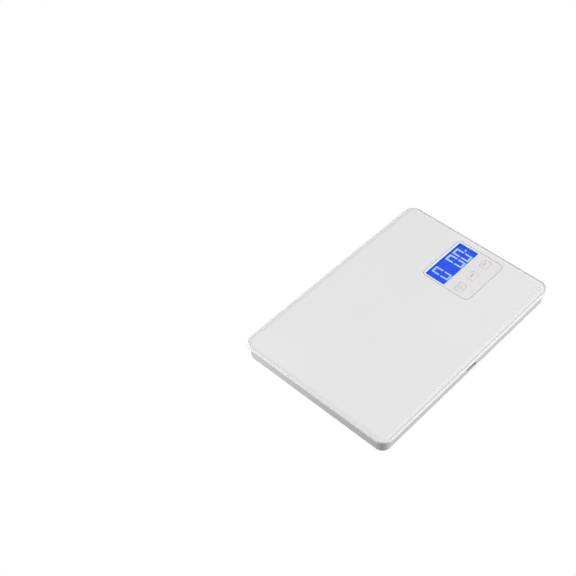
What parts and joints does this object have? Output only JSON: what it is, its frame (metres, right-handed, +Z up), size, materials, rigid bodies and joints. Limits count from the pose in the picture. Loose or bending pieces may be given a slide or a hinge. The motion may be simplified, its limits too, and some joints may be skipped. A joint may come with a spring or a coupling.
{
  "type": "kitchen scale",
  "caption": "Slim flat electronic kitchen scale with a rounded rectangular platform, an inset blue backlit display with travelling keys, a charging recess and sprung load-cell feet.",
  "frame": {"origin": "on the bench, under the middle of the platform", "axes": "+X along the long side towards the display, +Y away from the user, +Z up"},
  "size_m": [0.26, 0.18, 0.0205],
  "materials": {
    "plate": "satin silver-white lacquer",
    "shell": "fine satin silver-grey",
    "panel": "satin light grey",
    "key_caps": "satin light grey",
    "lens": "clear polished",
    "liquid_crystal": "polished blue, lit from behind",
    "light_guide": "clear acrylic",
    "white_plastic": "plain moulded",
    "carrier": "plain moulded",
    "foam": "closed-cell foam",
    "circuit_board": "solder mask",
    "chip_epoxy": "matte moulded",
    "switch_plastic": "moulded",
    "ribbon_film": "polyimide film",
    "socket_steel": "plated",
    "cell_steel": "ground",
    "screw_steel": "zinc plated",
    "battery_pouch": "laminated foil pouch",
    "foot_plastic": "moulded grey",
    "foot_rubber": "matte",
    "cell_lead": "sleeved",
    "red_lead": "sleeved",
    "black_lead": "sleeved"
  },
  "bodies": {
    "case": {"platform_plate": "plate", "platform_adhesive": "foam", "platform_carrier": "carrier", "body_shell": "shell", "control_panel": "panel", "display_window": "lens", "lcd_glass": "liquid_crystal", "lcd_light_guide": "light_guide", "backlight_led_bar": "white_plastic", "lcd_tray": "white_plastic", "lcd_ribbon": "ribbon_film", "main_board": "circuit_board", "controller_chip": "chip_epoxy", "converter_chip": "chip_epoxy", "usb_socket": "socket_steel", "charging_board": "circuit_board", "battery_pad": "foam", "battery": "battery_pouch", "battery_lead": "red_lead", "charging_lead": "black_lead", "power_key_switch": "switch_plastic", "tare_key_switch": "switch_plastic", "unit_key_switch": "switch_plastic", "load_cell_front_left": "cell_steel", "load_cell_lead_front_left": "cell_lead", "load_cell_front_right": "cell_steel", "load_cell_lead_front_right": "cell_lead", "load_cell_back_left": "cell_steel", "load_cell_lead_back_left": "cell_lead", "load_cell_back_right": "cell_steel", "load_cell_lead_back_right": "cell_lead", "case_screw_1": "screw_steel", "case_screw_2": "screw_steel", "case_screw_3": "screw_steel", "case_screw_4": "screw_steel", "case_screw_5": "screw_steel", "case_screw_6": "screw_steel", "board_screw_1": "screw_steel", "board_screw_2": "screw_steel", "board_screw_3": "screw_steel", "board_screw_4": "screw_steel"},
    "power_key": {"power_key": "key_caps"},
    "tare_key": {"tare_key": "key_caps"},
    "unit_key": {"unit_key": "key_caps"},
    "foot_front_left": {"foot_cup_front_left": "foot_plastic", "foot_pad_front_left": "foot_rubber"},
    "foot_front_right": {"foot_cup_front_right": "foot_plastic", "foot_pad_front_right": "foot_rubber"},
    "foot_back_left": {"foot_cup_back_left": "foot_plastic", "foot_pad_back_left": "foot_rubber"},
    "foot_back_right": {"foot_cup_back_right": "foot_plastic", "foot_pad_back_right": "foot_rubber"}
  },
  "joints": [
    {"name": "front_left_foot_slide", "type": "slide", "parent": "case", "child": "foot_front_left", "axis": [0, 0, 1], "range_m": [0, 0.0004], "stiffness_N_per_m": 90000},
    {"name": "front_right_foot_slide", "type": "slide", "parent": "case", "child": "foot_front_right", "axis": [0, 0, 1], "range_m": [0, 0.0004], "stiffness_N_per_m": 90000},
    {"name": "back_left_foot_slide", "type": "slide", "parent": "case", "child": "foot_back_left", "axis": [0, 0, 1], "range_m": [0, 0.0004], "stiffness_N_per_m": 90000},
    {"name": "back_right_foot_slide", "type": "slide", "parent": "case", "child": "foot_back_right", "axis": [0, 0, 1], "range_m": [0, 0.0004], "stiffness_N_per_m": 90000},
    {"name": "power_key_press", "type": "slide", "parent": "case", "child": "power_key", "axis": [0, 0, -1], "range_m": [0, 0.0003], "stiffness_N_per_m": 5000, "springref_m": -0.0001},
    {"name": "tare_key_press", "type": "slide", "parent": "case", "child": "tare_key", "axis": [0, 0, -1], "range_m": [0, 0.0003], "stiffness_N_per_m": 5000, "springref_m": -0.0001},
    {"name": "unit_key_press", "type": "slide", "parent": "case", "child": "unit_key", "axis": [0, 0, -1], "range_m": [0, 0.0003], "stiffness_N_per_m": 5000, "springref_m": -0.0001}
  ]
}
